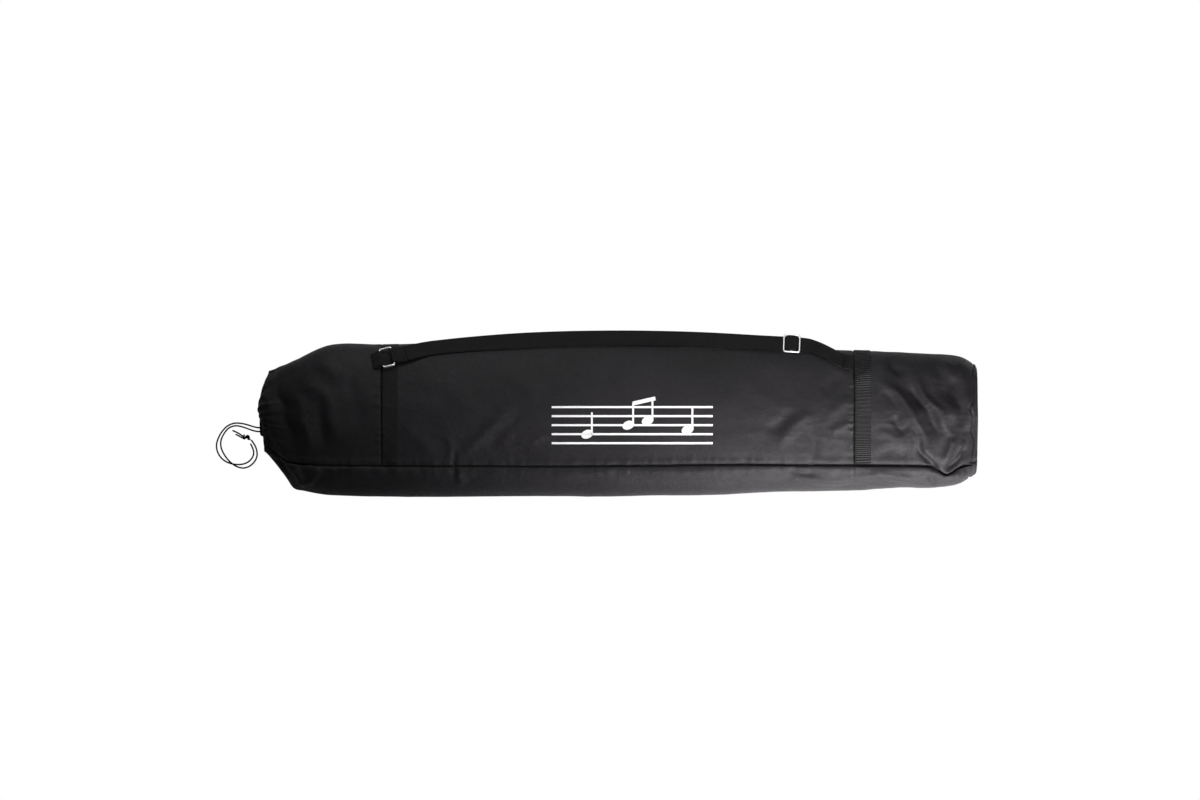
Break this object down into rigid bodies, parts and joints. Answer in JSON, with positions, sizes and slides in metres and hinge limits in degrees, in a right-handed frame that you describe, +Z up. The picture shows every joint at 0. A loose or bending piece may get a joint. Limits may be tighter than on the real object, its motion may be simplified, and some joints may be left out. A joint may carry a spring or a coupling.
{
  "type": "drawstring carry bag",
  "caption": "Long cloth carry bag with a drawn mouth, a sewn base, a gusset, girth webbing, a side shoulder strap with wire ring and slider, and a knotted drawstring.",
  "frame": {"origin": "on the surface the bag lies on, under the middle of the bag and its strap, taken without the loose ends of the drawstring", "axes": "+X along the bag from the drawn mouth to the sewn base; +Y towards the side that carries the shoulder strap; +Z up out of the printed front"},
  "size_m": [1.1889, 0.2609, 0.1115],
  "materials": {
    "shell_cloth": "black coated nylon with a soft sheen",
    "webbing": "ribbed black nylon webbing",
    "binding_tape": "flat black tape",
    "cord": "braided black cord",
    "ring_wire": "nickel plated, polished",
    "slider_wire": "nickel plated, satin",
    "print": "matte white print"
  },
  "bodies": {
    "bag": {"mouth_panel": "shell_cloth", "middle_panel": "shell_cloth", "base_panel": "shell_cloth", "gusset_panel": "shell_cloth", "end_panel": "shell_cloth", "mouth_gathers": "shell_cloth", "mouth_girth_webbing": "webbing", "base_girth_webbing": "webbing", "mouth_seam_binding": "binding_tape", "base_seam_binding": "binding_tape", "back_gusset_binding": "binding_tape", "front_gusset_binding": "binding_tape", "end_seam_binding": "binding_tape", "drawstring_channel": "shell_cloth", "drawstring": "cord", "drawstring_strand_a": "cord", "drawstring_strand_b": "cord", "drawstring_knot": "cord", "drawstring_tails": "cord", "ring_tab": "webbing", "printed_emblem": "print"},
    "strap": {"shoulder_strap_main": "webbing", "shoulder_strap_return": "webbing", "strap_ring_bight": "webbing", "strap_sewn_end": "webbing"},
    "slider": {"slider_frame": "slider_wire", "slider_crossbar": "slider_wire", "slider_webbing_hump": "webbing"},
    "ring": {"strap_ring": "ring_wire"}
  },
  "joints": [
    {"name": "strap_swing", "type": "hinge", "parent": "bag", "child": "strap", "pos_m": [-0.34751, 0.0796, 0.10499], "axis": [0.9997, -0.0161, -0.0157], "range_deg": [0, 75], "deforming": ["ring_tab", "strap_ring_bight", "strap_sewn_end"]},
    {"name": "ring_turn", "type": "hinge", "parent": "strap", "child": "ring", "pos_m": [-0.34751, 0.0796, 0.10499], "axis": [0.9997, -0.0161, -0.0157], "range_deg": [-53, 0], "deforming": ["ring_tab", "strap_ring_bight"]},
    {"name": "slider_slide", "type": "slide", "parent": "strap", "child": "slider", "axis": [0.9982, -0.0573, -0.0153], "range_m": [-0.1, 0.003]}
  ],
  "couplings": [
    {"joint": "ring_turn", "follows": "strap_swing", "ratio": -0.7}
  ]
}
